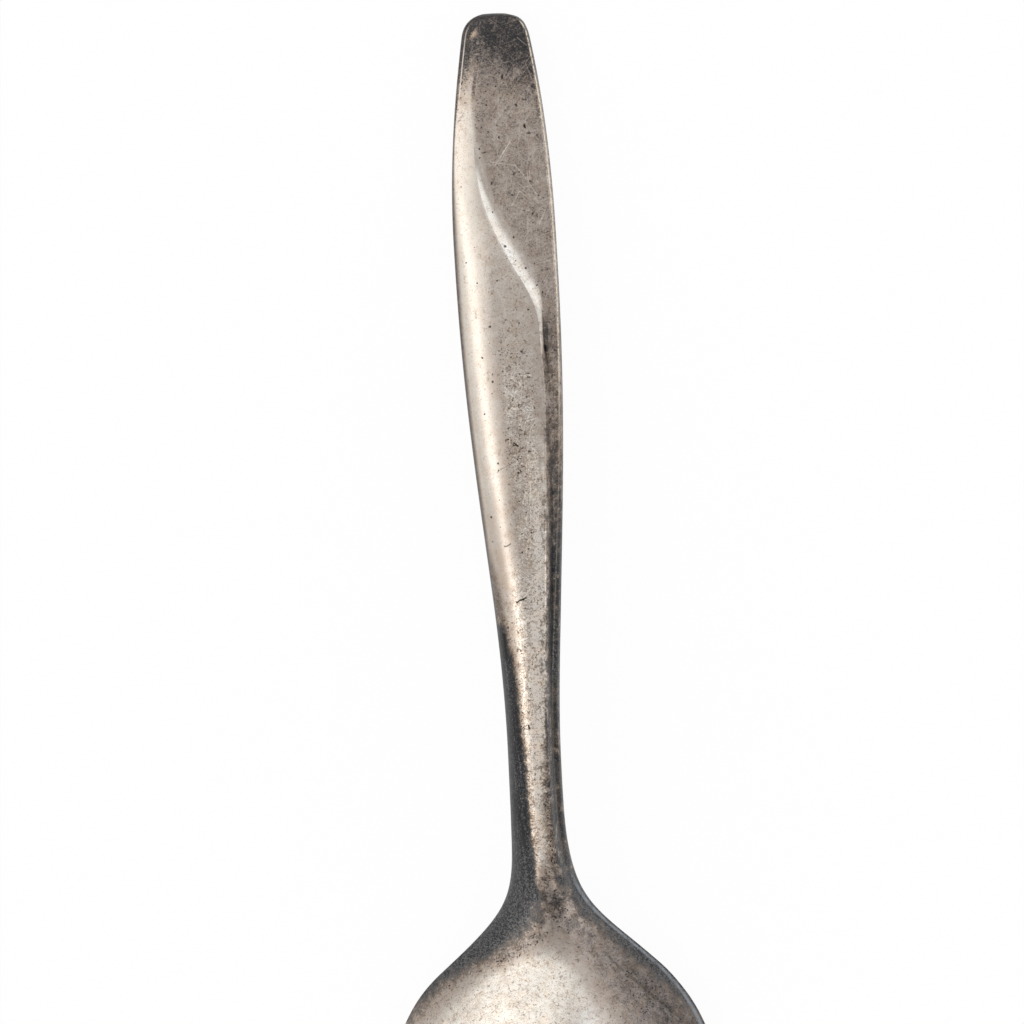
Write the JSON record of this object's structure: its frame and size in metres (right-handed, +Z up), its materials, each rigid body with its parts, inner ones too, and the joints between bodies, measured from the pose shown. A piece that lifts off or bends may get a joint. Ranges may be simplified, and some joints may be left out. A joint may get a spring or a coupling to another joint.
{
  "type": "salt spoon",
  "caption": "Small tarnished silver salt spoon with a round dished bowl, flared shoulders and a forged handle whose raised back slants down to a flat rounded end.",
  "frame": {"origin": "on the table, under the middle of the spoon's box, with the spoon lying face down", "axes": "+Y along the handle to its end, +X across, to the right with the back in view, +Z up out of the back"},
  "size_m": [0.0158, 0.06, 0.0054],
  "materials": {
    "silver": "worn silver, scratched, with dark tarnish in the hollows and at the end",
    "silver_solder": "dull tarnished silver solder, filed flush"
  },
  "bodies": {
    "root": {"bowl": "silver", "handle": "silver", "solder_seam": "silver_solder"}
  },
  "joints": []
}
